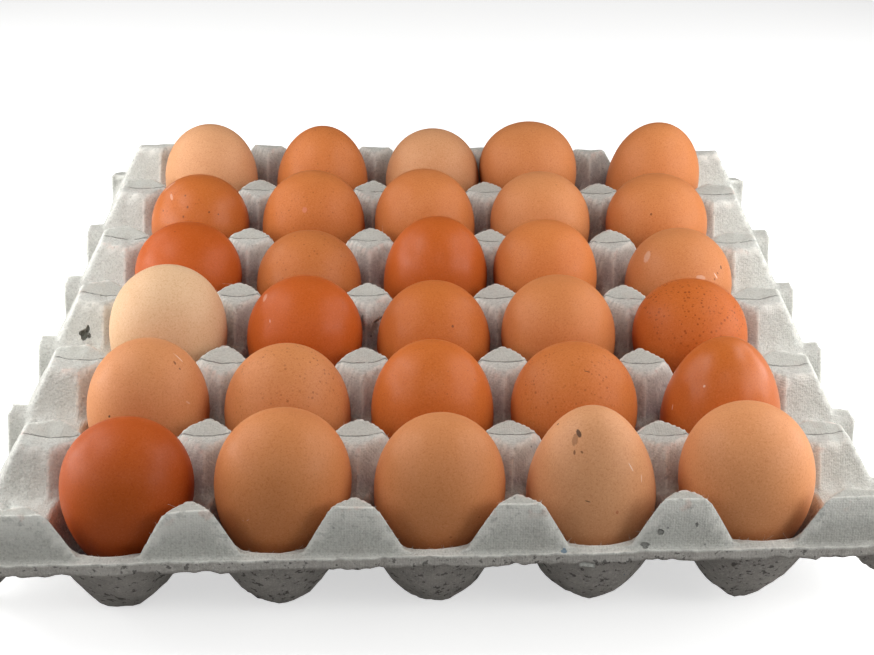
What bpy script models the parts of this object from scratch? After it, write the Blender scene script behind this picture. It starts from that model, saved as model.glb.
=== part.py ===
"""A moulded pulp tray with thirty eggs standing in it.

The tray is one thin shell. It is worked out as a height field: a land between the cups, a peak at
every corner where four cells meet, and a conical cup in every cell. The eggs are turned solids,
each of its own size, lowered into its cup until it nearly touches.
"""

import math

import bmesh
import bpy
import numpy as np
from mathutils import Matrix, Vector
from mathutils.bvhtree import BVHTree
from mathutils.geometry import delaunay_2d_cdt

# --- driving dimensions, in metres ---
PITCH = 0.0495            # from one cell to the next, both ways
COLUMNS = 5
ROWS = 6
WALL = 0.0023             # thickness of the pulp
PEAK_HEIGHT = 0.0473      # top of a peak above the table
LAND_HEIGHT = 0.0315      # the land round the cups, and the rim
PEAK_HALF = 0.0081        # centre of a peak to a corner of its flat top
PEAK_FOOT = 0.0160        # centre of a peak to where its ridge meets the land
PEAK_ROUNDNESS = 1.3      # 1 is a straight-sided diamond, 2 a circle
EDGE_PEAK_OUT = 0.0099    # a peak at the side runs this far out before its outer face
EDGE_PEAK_NARROWS = 0.25  # and narrows by this share of the way out
EDGE_FACE_RUN = 0.0084    # the outer face of a side peak leans over this far
END_FACE_AT = 2.95 * PITCH  # front and back faces of the end peaks, at their tops
END_FACE_RUN = 0.0020
HALF_LENGTH = 3.04 * PITCH  # middle to the front and back edges of the rim
HALF_WIDTH = 3.00 * PITCH   # middle to the side edges
LUG_SHIFT = 0.24 * PITCH    # the land reaches the side edge in a lug a little in front of each side peak
LUG_HALF = 0.09 * PITCH
POCKET_END = 2.95 * PITCH   # the first and last margin pockets end here
POCKET_BOXINESS = 2.6     # 2 is an ellipse
CORNER_CUT = 0.0040

# A cup from its axis outwards, then a margin pocket, as (radius, height of the inside above the table).
# A pocket's radius runs inwards from the side edge, and is stretched along the edge to fit between two lugs.
LAND_RING = 4             # the entry of CUP or POCKET that lies at the land
CUP = ((0.0082, WALL), (0.0133, 0.0098), (0.0170, 0.0170), (0.0202, 0.0245), (0.0226, LAND_HEIGHT),
       (0.0244, 0.0365), (0.0261, 0.0430), (0.0278, 0.0510), (0.0290, 0.0600))
POCKET = ((0.0070, WALL), (0.0102, 0.0085), (0.0140, 0.0170), (0.0168, 0.0255), (0.0180, LAND_HEIGHT),
          (0.0190, 0.0400), (0.0200, 0.0550))

# The front row of cups and the rim beyond it are lifted a little off the table, more to the right.
CURL_START = 1.5 * PITCH
CURL_END = 2.9 * PITCH
CURL_AT_MIDDLE = 0.0051
CURL_PER_METRE = 0.035

# The rings that the two meshes are drawn through, as radii with the number of points in each.
CUP_RING_POINTS = (8, 8, 12, 12, 12)
UNDER_CUP_RINGS = (0.0080, 0.0146, 0.0188, 0.0230)
UNDER_CUP_POINTS = (8, 8, 12, 12)
POCKET_RINGS = (0.0102, 0.0140, 0.0180)
UNDER_POCKET_RINGS = (0.0120, 0.0158, 0.0198)
POCKET_TURNS = (-60, -20, 20, 60)   # degrees round a pocket, from its middle line
UNDER_INSET = 0.75 * WALL   # the underside's folds lie this far inside the upper ones
EDGE_MARGIN = 0.0006      # no loose point lies closer to the edge
MERGE = 1e-6
BALL_REACHES = (0.35, 0.65, 0.85, 0.97)   # where the rolling ball is tried, as shares of its radius
BALL_TURNS = 16

TOUCH_GAP = 0.0004        # between an egg and the pulp that it rests on
DROP_FROM = 0.2
EGG_PITCH = 0.0490         # the eggs stand a little closer than the cells, settled towards the middle
SEAT_BELOW = 0.32         # an egg leans about a point this share of its length below its middle
EGG_SIDES = 12
EGG_RINGS = 8
EDGE_STEPS = 5            # points tried along each edge when an egg is lowered

# One row of eggs per line, from the back row to the front. An egg is its width and length in
# millimetres, how much narrower its lower end is, and its lean to the right.
EGGS = (
    ((42, 57.5, 0.1, -0.02), (41.5, 52, -0.05, 0.04), (42.5, 56.5, 0.15, 0.06),
     (44, 52.5, 0.2, -0.17), (41.5, 60.5, 0.05, 0.15)),
    ((41.5, 55, 0.2, 0.02), (43.5, 57.5, 0.15, -0.02), (42.5, 57, 0.15, -0.09),
     (42.5, 55.5, 0.2, -0.08), (43, 53.5, 0.2, -0.06)),
    ((42, 52, 0.2, 0.07), (41.5, 53.5, 0.2, 0.02), (41.5, 60, 0.12, 0.07),
     (41.5, 54, 0.2, -0.14), (42.5, 54.5, 0.15, 0.03)),
    ((43, 59.5, 0.15, 0.04), (42.5, 56.5, 0.2, 0.07), (42, 58, 0.15, 0.02),
     (42.5, 56.5, 0.2, -0.09), (42.5, 51.5, 0.2, -0.11)),
    ((41.5, 57, 0.12, 0.04), (43, 57, 0.12, -0.04), (42, 62, 0.15, -0.02),
     (43.5, 58, 0.2, -0.04), (41, 58.5, -0.1, 0.02)),
    ((42, 53, 0.2, 0.07), (43, 59, 0.2, 0.05), (41.5, 55.5, 0.12, 0.06),
     (41, 54, -0.15, -0.02), (42.5, 54, 0.1, -0.05)),
)

# Base colours of the shells, and which one each egg has, row by row from the back.
SHELLS = {
    "pale": (0.80, 0.56, 0.36),
    "tan": (0.70, 0.36, 0.18),
    "orange": (0.62, 0.24, 0.09),
    "red": (0.50, 0.14, 0.05),
}
SHADES = (
    "tan orange tan orange orange",
    "orange tan orange tan tan",
    "red tan red orange tan",
    "pale red orange tan orange",
    "tan tan orange orange red",
    "red tan tan tan tan",
)


def clear_scene():
    for thing in list(bpy.data.objects):
        bpy.data.objects.remove(thing, do_unlink=True)


def material(name, colour, roughness):
    made = bpy.data.materials.new(name)
    made.use_nodes = True
    shader = made.node_tree.nodes["Principled BSDF"]
    shader.inputs["Base Color"].default_value = (*colour, 1.0)
    shader.inputs["Roughness"].default_value = roughness
    shader.inputs["Metallic"].default_value = 0.0
    return made


# --- the tray's upper surface ---

def profile(radius, points):
    radii, heights = zip(*points)
    return np.interp(radius, radii, heights)


def peak_height(across, along, half, foot):
    """Height of one peak: flat on top, with straight ridges down to the land."""
    reach = (np.abs(across) ** PEAK_ROUNDNESS + np.abs(along) ** PEAK_ROUNDNESS) ** (1 / PEAK_ROUNDNESS)
    slope = (PEAK_HEIGHT - LAND_HEIGHT) / (foot - half)
    return PEAK_HEIGHT - slope * np.maximum(reach - half, 0)


def side_peak_height(outwards, along):
    """The outer half of a peak at the side, a broad wedge with a leaning outer face."""
    slope = (PEAK_HEIGHT - LAND_HEIGHT) / (PEAK_FOOT - PEAK_HALF)
    wedge = PEAK_HEIGHT - slope * np.maximum(np.abs(along) + EDGE_PEAK_NARROWS * outwards - PEAK_HALF, 0)
    lean = (PEAK_HEIGHT - LAND_HEIGHT) / EDGE_FACE_RUN
    return np.minimum(wedge, PEAK_HEIGHT - lean * np.maximum(outwards - EDGE_PEAK_OUT, 0))


def nearest(value, first, last):
    """The nearest whole number of pitches plus a half, kept from first to last."""
    return np.clip(np.floor(value / PITCH) + 0.5, first, last) * PITCH


def pockets():
    """Each margin pocket's middle along the side and its half length, between one lug and the next."""
    lugs = [row * PITCH - LUG_SHIFT for row in range(-2, 3)]
    starts = [-POCKET_END] + [lug + LUG_HALF for lug in lugs]
    ends = [lug - LUG_HALF for lug in lugs] + [POCKET_END]
    return [((start + end) / 2, (end - start) / 2) for start, end in zip(starts, ends)]


def pocket_reach(x, y):
    """How far x, y lies from the middle of the nearest pocket's mouth, measured as the POCKET radius."""
    widest = POCKET[LAND_RING][0]
    reach = np.full(x.shape, 1.0)
    for middle, half in pockets():
        inwards = np.abs(np.abs(x) - HALF_WIDTH) ** POCKET_BOXINESS
        along = np.abs((y - middle) * widest / half) ** POCKET_BOXINESS
        reach = np.minimum(reach, (inwards + along) ** (1 / POCKET_BOXINESS))
    return reach


def upper_height(x, y):
    """Height of the tray's upper surface at x, y, before the rim's curl."""
    x, y = np.asarray(x, float), np.asarray(y, float)
    corner_x = nearest(x, -2.5, 2.5)
    corner_y = np.clip(np.round(y / PITCH), -3, 3) * PITCH
    across, along = x - corner_x, y - corner_y
    land = np.maximum(peak_height(across, along, PEAK_HALF, PEAK_FOOT), LAND_HEIGHT)
    outwards = np.abs(x) - 2.5 * PITCH
    pocket = profile(pocket_reach(x, y), POCKET)
    side = np.maximum(side_peak_height(np.maximum(outwards, 0), along), np.minimum(pocket, LAND_HEIGHT))
    land = np.where(outwards > 0, side, land)
    face = (PEAK_HEIGHT - LAND_HEIGHT) / END_FACE_RUN * np.maximum(np.abs(y) - END_FACE_AT, 0)
    land = np.minimum(land, np.maximum(PEAK_HEIGHT - face, LAND_HEIGHT))
    cell_x = np.clip(np.round(x / PITCH), -2, 2) * PITCH
    cell_y = nearest(y, -2.5, 2.5)
    return np.minimum(land, profile(np.hypot(x - cell_x, y - cell_y), CUP))


def curl(x, y):
    """How far the tray is lifted at x, y."""
    near = np.clip((-y - CURL_START) / (CURL_END - CURL_START), 0, 1)
    near = near * near * (3 - 2 * near)
    return near * (CURL_AT_MIDDLE + CURL_PER_METRE * x)


def lower_height(x, y):
    """The underside: a ball of the wall's thickness rolled under the upper surface."""
    x, y = np.asarray(x, float), np.asarray(y, float)
    lowest = upper_height(x, y) - WALL
    for share in BALL_REACHES:
        for step in range(BALL_TURNS):
            angle = 2 * math.pi * step / BALL_TURNS
            reach = share * WALL
            above = upper_height(x + reach * math.cos(angle), y + reach * math.sin(angle))
            lowest = np.minimum(lowest, above - math.sqrt(WALL**2 - reach**2))
    return np.maximum(lowest, 0)


# --- the points and lines that the two surfaces are drawn through ---

def ring(centre_x, centre_y, radius, sides, turn=0.0):
    steps = (2 * math.pi * (i + turn) / sides for i in range(sides))
    return [(centre_x + radius * math.cos(a), centre_y + radius * math.sin(a)) for a in steps]


def side_edge():
    """Points up the right edge, through the pockets' cut profiles."""
    points = []
    for middle, half in pockets():
        reaches = [radius * half / POCKET[LAND_RING][0] for radius, _ in POCKET[:LAND_RING + 1]]
        points += [(HALF_WIDTH, middle - r) for r in reversed(reaches)]
        points += [(HALF_WIDTH, middle + r) for r in reaches]
    return points


def outline():
    """The rim's edge, anticlockwise from the front right corner."""
    right = side_edge()
    corner_x, corner_y = HALF_WIDTH - CORNER_CUT, HALF_LENGTH
    back = [(x * PITCH, HALF_LENGTH) for x in np.arange(2.5, -2.6, -0.5)]
    left = [(-x, y) for x, y in reversed(right)]
    front = [(-x, -y) for x, y in back]
    return ([(HALF_WIDTH, -HALF_LENGTH + CORNER_CUT)] + right + [(HALF_WIDTH, HALF_LENGTH - CORNER_CUT)]
            + [(corner_x, corner_y)] + back + [(-corner_x, corner_y), (-HALF_WIDTH, HALF_LENGTH - CORNER_CUT)]
            + left + [(-HALF_WIDTH, -HALF_LENGTH + CORNER_CUT), (-corner_x, -corner_y)] + front
            + [(corner_x, -corner_y)])


def feature_lines(inset, cup_radii, sides):
    """Closed lines round each cup and peak, and the loose points on the ridges, drawn in by inset."""
    loops, points = [], []
    half, foot = PEAK_HALF - inset, PEAK_FOOT - inset
    for column in range(-2, 3):
        for row in range(ROWS):
            centre = column * PITCH, (row - 2.5) * PITCH
            for radius, count in zip(cup_radii, sides):
                loops.append(ring(*centre, radius, count, 0.5))
    for gap in range(COLUMNS + 1):
        x = (gap - 2.5) * PITCH
        edge = abs(gap - 2.5) > 2
        for row in range(-3, 4):
            y = row * PITCH
            reach_y = (-1, 1) if abs(row) < 3 else ((-1,) if row > 0 else (1,))
            points += [(x, y + side * d) for side in reach_y for d in (half, foot)]
            sides_x = (-1, 1) if not edge else ((-1,) if x > 0 else (1,))
            end_y = y if abs(row) < 3 else math.copysign(END_FACE_AT - inset, y)
            foot_y = y if abs(row) < 3 else math.copysign(END_FACE_AT + END_FACE_RUN - inset, y)
            points += [(x + side * half, end_y) for side in sides_x]
            points += [(x + side * foot, foot_y) for side in sides_x]
            diagonal = half * 2 ** (-1 / PEAK_ROUNDNESS)
            points += [(x + a * diagonal, y + b * diagonal) for a in sides_x for b in reach_y]
            if abs(row) == 3:
                points.append((x, end_y))
            if edge:
                points += side_peak_points(math.copysign(1, x), y, reach_y, end_y, foot_y, inset)
    for column in range(-2, 3):
        for row in range(-2, 3):
            points.append((column * PITCH, row * PITCH))
    for gap in range(COLUMNS + 1):
        for row in range(ROWS):
            points.append(((gap - 2.5) * PITCH, (row - 2.5) * PITCH))
    return loops, points


def pocket_lines(radii, turns):
    """Open lines round the inside of each margin pocket, through the given turns in degrees."""
    lines = []
    for side in (-1, 1):
        for middle, half in pockets():
            for radius in radii:
                line = []
                for turn in turns:
                    inwards = max(math.cos(math.radians(turn)), 0) ** (2 / POCKET_BOXINESS)
                    along = abs(math.sin(math.radians(turn))) ** (2 / POCKET_BOXINESS)
                    along = math.copysign(along * half / POCKET[LAND_RING][0], turn)
                    line.append((side * (HALF_WIDTH - radius * inwards), middle + radius * along))
                lines.append(line)
    return lines


def side_peak_points(side, y, reach_y, end_y, foot_y, inset):
    """The outer half of a side peak: its crest, the corners of its outer face and its foot."""
    out = 2.5 * PITCH + EDGE_PEAK_OUT - inset
    base = out + EDGE_FACE_RUN
    crest = PEAK_HALF - EDGE_PEAK_NARROWS * EDGE_PEAK_OUT - inset
    foot = PEAK_FOOT - EDGE_PEAK_NARROWS * EDGE_PEAK_OUT - inset
    points = [(side * out, end_y), (side * base, foot_y)]
    points += [(side * out, y + d * crest) for d in reach_y]
    points += [(side * out, y + d * foot) for d in reach_y]
    return points


def inside(point, margin):
    x, y = abs(point[0]), abs(point[1])
    return x < HALF_WIDTH - margin and y < HALF_LENGTH - margin


def surface(edge, loops, open_lines, points, height):
    """Triangles through the given lines and points, within the edge: (vertices, faces)."""
    plan = [Vector(p) for p in edge]
    lines = [(i, (i + 1) % len(edge)) for i in range(len(edge))]
    for loop in loops:
        first = len(plan)
        plan += [Vector(p) for p in loop]
        lines += [(first + i, first + (i + 1) % len(loop)) for i in range(len(loop))]
    for line in open_lines:
        first = len(plan)
        plan += [Vector(p) for p in line]
        lines += [(first + i, first + i + 1) for i in range(len(line) - 1)]
    taken = {(round(p.x, 5), round(p.y, 5)) for p in plan}
    for point in points:
        key = round(point[0], 5), round(point[1], 5)
        if key not in taken and inside(point, EDGE_MARGIN):
            taken.add(key)
            plan.append(Vector(point))
    found, _, faces, sources, *_ = delaunay_2d_cdt(plan, lines, [], 1, MERGE)
    x = np.array([v.x for v in found])
    y = np.array([v.y for v in found])
    z = height(x, y) + curl(x, y)
    rim = [next(i for i, made_from in enumerate(sources) if corner in made_from) for corner in range(len(edge))]
    return np.stack([x, y, z], 1), faces, rim


def tray_mesh():
    edge = outline()
    top_loops, top_points = feature_lines(0.0, [r for r, _ in CUP[:LAND_RING + 1]], CUP_RING_POINTS)
    top_lines = pocket_lines(POCKET_RINGS, (-90, *POCKET_TURNS, 90))
    low_loops, low_points = feature_lines(UNDER_INSET, UNDER_CUP_RINGS, UNDER_CUP_POINTS)
    low_lines = pocket_lines(UNDER_POCKET_RINGS, POCKET_TURNS)
    top, top_faces, top_rim = surface(edge, top_loops, top_lines, top_points, upper_height)
    low, low_faces, low_rim = surface(edge, low_loops, low_lines, low_points, lower_height)
    made = bmesh.new()
    upper = [made.verts.new(v) for v in top]
    under = [made.verts.new(v) for v in low]
    for face in top_faces:
        made.faces.new([upper[i] for i in face])
    for face in low_faces:
        made.faces.new([under[i] for i in reversed(face)])
    for i in range(len(edge)):
        j = (i + 1) % len(edge)
        a, b, c, d = upper[top_rim[i]], upper[top_rim[j]], under[low_rim[j]], under[low_rim[i]]
        made.faces.new([a, d, c])
        made.faces.new([a, c, b])
    bmesh.ops.recalc_face_normals(made, faces=made.faces)
    mesh = bpy.data.meshes.new("tray")
    made.to_mesh(mesh)
    made.free()
    return mesh


# --- the eggs ---

def egg_radius(share, taper):
    """Radius of an egg, as a share of its greatest, at a share of its height from -1 to 1."""
    return np.sqrt(np.maximum(1 - share**2, 0)) * (1 + taper * share)


def egg_mesh(name, width, length, taper, lean):
    fine = egg_radius(np.linspace(-1, 1, 201), taper).max()
    made = bmesh.new()
    rings = []
    for i in range(1, EGG_RINGS):
        share = -math.cos(math.pi * i / EGG_RINGS)
        radius = width / 2 * float(egg_radius(np.array(share), taper)) / fine
        rings.append([made.verts.new((*p, share * length / 2)) for p in ring(0, 0, radius, EGG_SIDES)])
    bottom = made.verts.new((0, 0, -length / 2))
    top = made.verts.new((0, 0, length / 2))
    for i in range(EGG_SIDES):
        j = (i + 1) % EGG_SIDES
        made.faces.new([bottom, rings[0][j], rings[0][i]])
        made.faces.new([top, rings[-1][i], rings[-1][j]])
        for low, high in zip(rings, rings[1:]):
            made.faces.new([low[i], low[j], high[j], high[i]])
    bmesh.ops.rotate(made, verts=made.verts, cent=(0, 0, 0), matrix=Matrix.Rotation(lean, 3, "Y"))
    mesh = bpy.data.meshes.new(name)
    made.to_mesh(mesh)
    made.free()
    mesh.shade_smooth()
    return mesh


def along_edges(mesh, points):
    """The points and some more between them along the mesh's edges."""
    shares = [step / EDGE_STEPS for step in range(EDGE_STEPS)]
    return [points[i].lerp(points[j], share) for i, j in mesh.edge_keys for share in shares]


def resting_height(egg, width, x, y, tray_tree, tray_points):
    """How high the egg's centre stands at x, y when it, grown by TOUCH_GAP, meets the tray."""
    grown = [v.co * (1 + 2 * TOUCH_GAP / width) + Vector((x, y, DROP_FROM)) for v in egg.vertices]
    drops = []
    for point in along_edges(egg, grown):
        hit = tray_tree.ray_cast(point, Vector((0, 0, -1)))[0]
        if hit is not None:
            drops.append(point.z - hit.z)
    egg_tree = BVHTree.FromPolygons(grown, [list(f.vertices) for f in egg.polygons])
    near = tray_points[np.hypot(tray_points[:, 0] - x, tray_points[:, 1] - y) < PITCH / 2]
    for point in near:
        hit = egg_tree.ray_cast(Vector((point[0], point[1], 0)), Vector((0, 0, 1)))[0]
        if hit is not None:
            drops.append(hit.z - point[2])
    return DROP_FROM - min(drops)


def build():
    clear_scene()
    pulp = material("grey_pulp", (0.48, 0.48, 0.44), 0.95)
    shells = {shade: material(f"shell_{shade}", colour, 0.55) for shade, colour in SHELLS.items()}
    tray = bpy.data.objects.new("tray", tray_mesh())
    tray.data.materials.append(pulp)
    bpy.context.collection.objects.link(tray)
    points = [v.co.copy() for v in tray.data.vertices]
    tree = BVHTree.FromPolygons(points, [list(f.vertices) for f in tray.data.polygons])
    places = np.array([tuple(p) for p in along_edges(tray.data, points)])
    for row, line in enumerate(EGGS):
        shades = SHADES[row].split()
        for column, (width, length, taper, lean) in enumerate(line):
            name = f"egg_r{row + 1}_c{column + 1}"
            mesh = egg_mesh(name, width / 1000, length / 1000, taper, lean)
            egg = bpy.data.objects.new(name, mesh)
            egg.data.materials.append(shells[shades[column]])
            x = (column - 2) * EGG_PITCH + lean * SEAT_BELOW * length / 1000
            y = (2.5 - row) * PITCH
            egg.location = (x, y, resting_height(mesh, width / 1000, x, y, tree, places))
            bpy.context.collection.objects.link(egg)


build()
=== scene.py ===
"""The looks of a moulded pulp tray with thirty brown eggs, on a plain floor in soft light."""

import math
import random
from functools import partial

import bmesh
import bpy
import numpy as np
from bpy.props import FloatProperty, FloatVectorProperty, IntProperty, PointerProperty
from mathutils import Matrix, Vector, noise


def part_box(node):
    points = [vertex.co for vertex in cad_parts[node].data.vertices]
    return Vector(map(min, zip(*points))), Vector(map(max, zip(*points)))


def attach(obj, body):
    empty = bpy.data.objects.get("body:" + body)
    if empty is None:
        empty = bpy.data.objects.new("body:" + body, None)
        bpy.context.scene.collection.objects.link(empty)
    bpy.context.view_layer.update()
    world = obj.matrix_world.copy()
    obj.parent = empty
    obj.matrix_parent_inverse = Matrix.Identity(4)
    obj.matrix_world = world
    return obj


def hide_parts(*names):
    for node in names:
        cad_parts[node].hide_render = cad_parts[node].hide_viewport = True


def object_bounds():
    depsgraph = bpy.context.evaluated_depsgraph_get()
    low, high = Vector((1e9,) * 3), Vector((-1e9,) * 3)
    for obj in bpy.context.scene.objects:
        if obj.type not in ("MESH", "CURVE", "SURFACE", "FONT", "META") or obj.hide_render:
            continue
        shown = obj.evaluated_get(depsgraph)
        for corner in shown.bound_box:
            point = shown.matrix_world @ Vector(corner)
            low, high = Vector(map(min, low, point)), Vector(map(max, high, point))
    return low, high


bl_info = {
    "name": "Egg tray",
    "version": (1, 0, 0),
    "blender": (4, 5, 0),
    "location": "3D View > Sidebar > Egg tray",
    "description": "Builds a moulded pulp tray, the eggs in it and a plain stage",
    "category": "Add Mesh",
}

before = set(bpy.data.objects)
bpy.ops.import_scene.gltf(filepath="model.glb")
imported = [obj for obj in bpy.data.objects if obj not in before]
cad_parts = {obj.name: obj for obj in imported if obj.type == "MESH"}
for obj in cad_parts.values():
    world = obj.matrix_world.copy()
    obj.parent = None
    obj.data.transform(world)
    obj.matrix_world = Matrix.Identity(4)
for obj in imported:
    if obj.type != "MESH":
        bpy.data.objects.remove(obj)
CAD_BOX = [list(map(float, corner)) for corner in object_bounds()]
TRAY_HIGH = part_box("tray")[1]

COLUMNS = 5
ROWS = 6
HALF_COLUMNS = COLUMNS / 2
HALF_ROWS = ROWS / 2
HALF_WIDTH = TRAY_HIGH.x
HALF_LENGTH = TRAY_HIGH.y

# The shells' colours from the palest to the darkest. An egg's shade is a place on this scale.
SHADES = ("cream", "peach", "tan", "amber", "rust", "brick", "umber")

# Each egg, row by row from the back: its shade and how light it is, how speckled and how glossy it is,
# its width and length in millimetres, how much narrower its lower end is, and its lean to the right.
EGGS = (
    ((0.9, 1.02, 0.1, 0.3, 42, 57.5, 0.1, -0.02), (2.9, 1.00, 0.5, 0.4, 41.5, 52, -0.05, 0.04),
     (1.0, 0.92, 0.2, 0.3, 42.5, 56.5, 0.15, 0.06), (2.2, 0.96, 0.2, 0.3, 44, 52.5, 0.2, -0.17),
     (2.3, 1.06, 0.1, 0.4, 41.5, 60.5, 0.05, 0.15)),
    ((3.9, 0.98, 0.4, 0.8, 41.5, 55, 0.2, 0.02), (3.0, 0.98, 0.5, 0.3, 43.5, 57.5, 0.15, -0.02),
     (2.7, 0.98, 0.1, 0.4, 42.5, 57, 0.15, -0.09), (1.9, 1.00, 0.1, 0.3, 42.5, 55.5, 0.2, -0.08),
     (2.4, 1.02, 0.2, 0.3, 43, 53.5, 0.2, -0.06)),
    ((5.3, 1.06, 0.2, 0.5, 42, 52, 0.2, 0.07), (2.9, 0.90, 0.5, 0.4, 41.5, 53.5, 0.2, 0.02),
     (4.9, 1.02, 0.1, 0.8, 41.5, 60, 0.12, 0.07), (2.9, 1.06, 0.1, 0.4, 41.5, 54, 0.2, -0.14),
     (2.1, 1.00, 0.1, 0.4, 42.5, 54.5, 0.15, 0.03)),
    ((0.0, 1.00, 0.05, 0.2, 43, 59.5, 0.15, 0.04), (5.2, 1.10, 0.1, 0.6, 42.5, 56.5, 0.2, 0.07),
     (3.8, 1.02, 0.1, 0.5, 42, 58, 0.15, 0.02), (2.4, 1.00, 0.1, 0.4, 42.5, 56.5, 0.2, -0.09),
     (4.4, 1.06, 0.9, 0.3, 42.5, 51.5, 0.2, -0.11)),
    ((1.7, 1.00, 0.15, 0.3, 41.5, 57, 0.12, 0.04), (2.0, 1.00, 0.7, 0.3, 43, 57, 0.12, -0.04),
     (4.1, 1.10, 0.3, 0.7, 42, 62, 0.15, -0.02), (3.1, 1.02, 0.6, 0.3, 43.5, 58, 0.2, -0.04),
     (4.2, 1.08, 0.05, 1.0, 41, 58.5, -0.1, 0.02)),
    ((5.5, 1.02, 0.1, 0.4, 42, 53, 0.2, 0.07), (2.1, 1.00, 0.1, 0.3, 43, 59, 0.2, 0.05),
     (1.9, 1.02, 0.2, 0.3, 41.5, 55.5, 0.12, 0.06), (1.0, 1.06, 0.1, 0.4, 41, 54, -0.15, -0.02),
     (1.6, 1.14, 0.1, 0.3, 42.5, 54, 0.1, -0.05)),
)

# Marks on single eggs: (row, column) from the back left, then each mark's kind, its turn to the right
# of the front and its rise above the middle in degrees, its lean from upright, and its length and
# width in millimetres.
MARKS = {
    # On egg (2, 1) the long thin scuff low on the left edge is a painted highlight, a pale arc of sheen; its
    # other scuffs are rubbed places.
    (2, 1): (("scuff_and_sheen", -49, 56, 60, 4, 1.2), ("scuff_and_sheen", -90, 59, 20, 7, 2), ("scuff_and_sheen", -74, 25, 0, 9, 0.8),
             ("dot", -20, 62, 0, 0.9, 0.8), ("dot", -10, 50, 0, 1.1, 0.9), ("dot", -14, 40, 0, 1.0, 0.8),
             ("dot", 22, 44, 0, 0.9, 0.9), ("dot", 34, 40, 0, 0.8, 0.7), ("dot", -50, 40, 0, 0.9, 0.8)),
    (2, 2): (("pink", -9, 44, 0, 2.5, 2),),
    (2, 5): (("dot", -19, 41, 0, 1.2, 1.0),),
    (3, 5): (("scuff_and_sheen", -66, 47, 30, 5, 3), ("scuff_and_sheen", 17, 37, 80, 4, 2), ("spot", 53, 40, -20, 1.6, 0.9),
             ("scratch", 39, 35, 20, 3.6, 0.5), ("dot", 43, 37, 20, 1.2, 0.6), ("dot", 36, 33, 0, 1.0, 0.7)),
    (4, 2): (("scuff_and_sheen", -80, 55, 70, 4, 2), ("scratch", -39, 42, 30, 2, 0.4)),
    (4, 3): (("dot", 24, 45, 0, 1.0, 0.9),),
    (5, 1): (("scratch", 82, 56, -12, 6.5, 0.45), ("scratch", 110, 45, -60, 5, 0.4),
             ("dot", 67, 58, -30, 1.5, 0.9), ("dot", 66, 52, 0, 0.8, 0.7),
             ("spot", -29, 23, -30, 1.0, 0.7), ("scuff_and_sheen", 54, 27, 40, 2.5, 0.6)),
    (5, 4): (("spot", 10, 66, 70, 2.2, 0.4),),
    (5, 5): (("scratch", -39, 39, 0, 0.9, 0.8), ("scratch", -70, 14, 15, 2.2, 0.4)),
    (6, 1): (("spot", 96, 22, 0, 0.6, 0.5),),
    (6, 2): (("scratch", -26, 9, -50, 2.4, 0.35), ("scratch", -29, 8, 70, 1.5, 0.35)),
    (6, 4): (("spot", -40, 59, 50, 3.0, 1.4), ("smear", -41, 53, 20, 4.2, 1.8),
             ("spot", -100, 50, 0, 0.9, 0.8), ("dot", -34, 44, 20, 1.6, 0.7),
             ("dot", -24, 46, 60, 1.0, 0.6), ("spot", -10, 14, 80, 1.8, 0.35),
             ("red", 17, 6, 0, 1.2, 0.9), ("scratch", 40, 32, 15, 4, 0.4), ("scratch", 50, 22, -20, 3, 0.4)),
}

# How strongly each kind of mark covers the shell, and its colour.
SHELL_INKS = {
    "spot": (0.85, (0.05, 0.022, 0.015)), "dot": (0.7, (0.13, 0.035, 0.015)),
    "smear": (0.5, (0.22, 0.08, 0.03)), "red": (0.5, (0.45, 0.07, 0.03)),
    # The scuff colour is rubbed pale places, and on egg (2, 1) also a painted highlight arc.
    "pink": (0.35, (0.75, 0.30, 0.24)), "scuff_and_sheen": (0.30, (0.85, 0.66, 0.55)),
    "scratch": (0.6, (0.88, 0.72, 0.62)),
}

# An egg's other colours, as shares of its base colour: deeper, laid towards the bottom as painted shade and
# in random patches and pores; in pale places; in speckles.
SHELL_DEEP_AND_SHADED = (0.78, 0.62, 0.50)
SHELL_PALE = (1.06, 1.12, 1.2)
SHELL_PALER = 0.03
SHELL_BROWN = (0.45, 0.32, 0.3)

# Marks on the tray: kind, place, length and width, in millimetres. Lengths run upwards.
PULP_MARKS = (
    # The torn hole is not cut: these marks paint the shade seen through it as a dark patch, with a dent in
    # the bump.
    ("shaded_hole", (-130.9, -12.9, 34.8), 5.0, 2.2),
    ("shaded_hole", (-129.6, -12.0, 36.8), 3.6, 1.2),
    ("shaded_hole", (-129.0, -13.0, 33.6), 3.0, 1.3),
    ("shaded_hole", (-132.0, -12.6, 35.2), 1.6, 2.0),
    # Dark pits in the front face: small dents, their darkness partly painted shade in the dent.
    ("pit_and_shadow", (67.2, -148.0, 44.1), 1.9, 1.7),
    ("pit_and_shadow", (77.9, -147.5, 46.6), 1.3, 1.0),
    ("pit_and_shadow", (62.7, -148.5, 39.8), 1.1, 2.2),
    ("blue", (38.4, -149.0, 38.0), 1.2, 1.6),
    ("pit_and_shadow", (-137.1, -106.8, 37.3), 1.2, 2.0),
    # These two are painted shadow: a dark band under the bent lip of the damaged peak.
    ("pit_and_shadow", (-22.0, -9.0, 41.0), 1.0, 6.0),
    ("pit_and_shadow", (-25.9, -9.2, 43.2), 0.9, 4.0),
)

# How strongly each kind of mark covers the pulp, its colour, and how deep it is beside the grain.
PULP_MARK_SPREAD = 1600   # from a mark's size in millimetres to its reach in metres
PULP_INKS = {
    # the hole's near-black colour is painted shade
    "shaded_hole": (0.92, (0.06, 0.06, 0.045), 2.0),
    # the pit colour is also the painted shadow under the bent lip
    "pit_and_shadow": (0.6, (0.07, 0.07, 0.065), 2.0),
    "blue": (0.7, (0.06, 0.16, 0.26), 0.0),
}

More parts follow.
